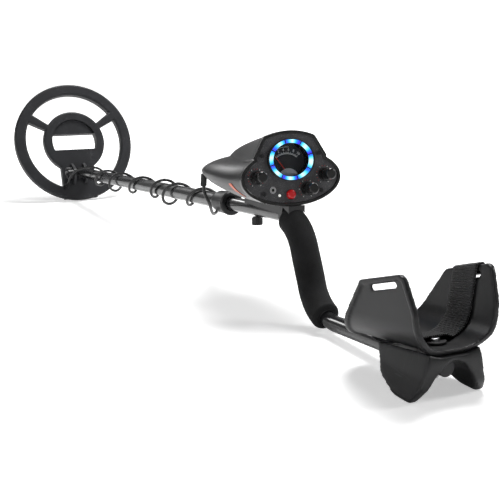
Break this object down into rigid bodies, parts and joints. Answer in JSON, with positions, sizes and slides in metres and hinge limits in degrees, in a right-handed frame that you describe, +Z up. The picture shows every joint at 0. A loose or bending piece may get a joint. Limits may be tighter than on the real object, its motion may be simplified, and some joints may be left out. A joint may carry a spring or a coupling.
{
  "type": "metal detector",
  "caption": "Handheld metal detector with an open spoked search coil on a tilting pivot, telescoping rod, control box with meter and knobs, foam grip, and forearm cuff with stand.",
  "frame": {"origin": "on the floor under the middle of the detector's length, between its two rear feet and its coil", "axes": "+X to the user's right, +Y forward along the shaft from the arm cuff to the coil, +Z up"},
  "size_m": [0.254, 1.3689, 0.2438],
  "materials": {
    "rod_black": "gloss",
    "foam": "matte",
    "cuff_plastic": "satin",
    "webbing": "matte",
    "coil_plastic": "matte",
    "fixings_black": "satin",
    "steel": "brushed",
    "chrome": "polished",
    "rubber": "matte",
    "copper_winding": "satin",
    "cable_jacket": "satin",
    "housing_plastic": "satin",
    "panel_grey": "speckled",
    "rim_black": "gloss",
    "led_glow": "lit",
    "dial_print": "printed",
    "needle_red": "matte",
    "hub_grey": "satin",
    "lens_clear": "clear",
    "button_red": "gloss",
    "lamp_white": "lit",
    "orange": "satin",
    "board_green": "printed",
    "battery_label": "gloss"
  },
  "bodies": {
    "frame": {"s_rod": "rod_black", "rod_end_cap": "fixings_black", "foam_grip": "foam", "arm_cuff": "cuff_plastic", "stand": "cuff_plastic", "strap": "webbing", "cuff_washer": "fixings_black", "cuff_bolt": "steel", "cuff_nut": "steel", "housing_upper": "housing_plastic", "housing_lower": "housing_plastic", "batteries": "battery_label", "speaker": "fixings_black", "front_panel": "panel_grey", "panel_rim": "rim_black", "panel_screws": "steel", "meter_bezel": "rim_black", "led_segments": "led_glow", "meter_dial": "dial_print", "meter_movement": "fixings_black", "hub_cover": "hub_grey", "meter_lens": "lens_clear", "potentiometers": "steel", "pot_nuts": "steel", "button_switch": "fixings_black", "headphone_jack": "fixings_black", "jack_sleeve": "chrome", "jack_nut": "chrome", "indicator_led": "lamp_white", "circuit_board": "board_green", "board_standoffs": "steel", "housing_bracket": "fixings_black", "accent_inlays": "orange", "nose_gland": "rubber", "cable_box_lead": "cable_jacket"},
    "lower_rod": {"lower_rod": "rod_black", "rod_tip": "fixings_black", "collet": "fixings_black", "pivot_washers": "rubber", "cable_winding": "cable_jacket"},
    "lock_collar": {"lock_collar": "fixings_black"},
    "coil": {"coil_top_shell": "coil_plastic", "coil_bottom_shell": "coil_plastic", "transmit_winding": "copper_winding", "receive_winding": "copper_winding", "pivot_bolt": "fixings_black", "coil_gland": "fixings_black", "cable_coil_lead": "cable_jacket"},
    "wing_nut": {"wing_nut": "fixings_black"},
    "thumb_screw": {"thumb_screw": "fixings_black"},
    "knob_left": {"knob_left": "rim_black", "knob_shaft_left": "steel"},
    "knob_right": {"knob_right": "rim_black", "knob_shaft_right": "steel"},
    "knob_lower": {"knob_lower": "rim_black", "knob_shaft_lower": "steel"},
    "push_button": {"push_button": "button_red"},
    "needle": {"needle": "needle_red"},
    "battery_door": {"battery_door": "housing_plastic"}
  },
  "joints": [
    {"name": "rod_telescope", "type": "slide", "parent": "frame", "child": "lower_rod", "axis": [0, 0.9979, -0.0649], "range_m": [-0.03, 0.06], "deforming": ["cable_box_lead"]},
    {"name": "collar_twist", "type": "hinge", "parent": "lower_rod", "child": "lock_collar", "pos_m": [0, -0.14469, 0.10944], "axis": [0, 0.9979, -0.0649], "range_deg": [0, 90]},
    {"name": "coil_tilt", "type": "hinge", "parent": "lower_rod", "child": "coil", "pos_m": [0, 0.592, 0.06154], "axis": [1, 0, 0], "range_deg": [-60, 85], "deforming": ["cable_coil_lead"]},
    {"name": "wing_nut_turn", "type": "hinge", "parent": "coil", "child": "wing_nut", "pos_m": [0, 0.592, 0.06154], "axis": [-1, 0, 0], "range_deg": [-180, 180]},
    {"name": "thumb_screw_turn", "type": "hinge", "parent": "frame", "child": "thumb_screw", "pos_m": [0, -0.26394, 0.11719], "axis": [0, 0.0649, 0.9979], "range_deg": [-180, 180]},
    {"name": "knob_left_turn", "type": "hinge", "parent": "frame", "child": "knob_left", "pos_m": [-0.0475, -0.35794, 0.17223], "axis": [0, -0.988, 0.1547], "range_deg": [-140, 140]},
    {"name": "knob_right_turn", "type": "hinge", "parent": "frame", "child": "knob_right", "pos_m": [0.045, -0.35809, 0.17124], "axis": [0, -0.988, 0.1547], "range_deg": [-140, 140]},
    {"name": "knob_lower_turn", "type": "hinge", "parent": "frame", "child": "knob_lower", "pos_m": [0.02, -0.36057, 0.15543], "axis": [0, -0.988, 0.1547], "range_deg": [-140, 140]},
    {"name": "button_press", "type": "slide", "parent": "frame", "child": "push_button", "axis": [0, 0.988, -0.1547], "range_m": [0, 0.0015], "stiffness_N_per_m": 1200},
    {"name": "needle_swing", "type": "hinge", "parent": "frame", "child": "needle", "pos_m": [0, -0.3574, 0.17569], "axis": [0, 0.988, -0.1547], "range_deg": [0, 74], "stiffness_Nm_per_rad": 0.0002},
    {"name": "battery_door_slide", "type": "slide", "parent": "frame", "child": "battery_door", "axis": [0, 1, 0], "range_m": [0, 0.03]}
  ]
}
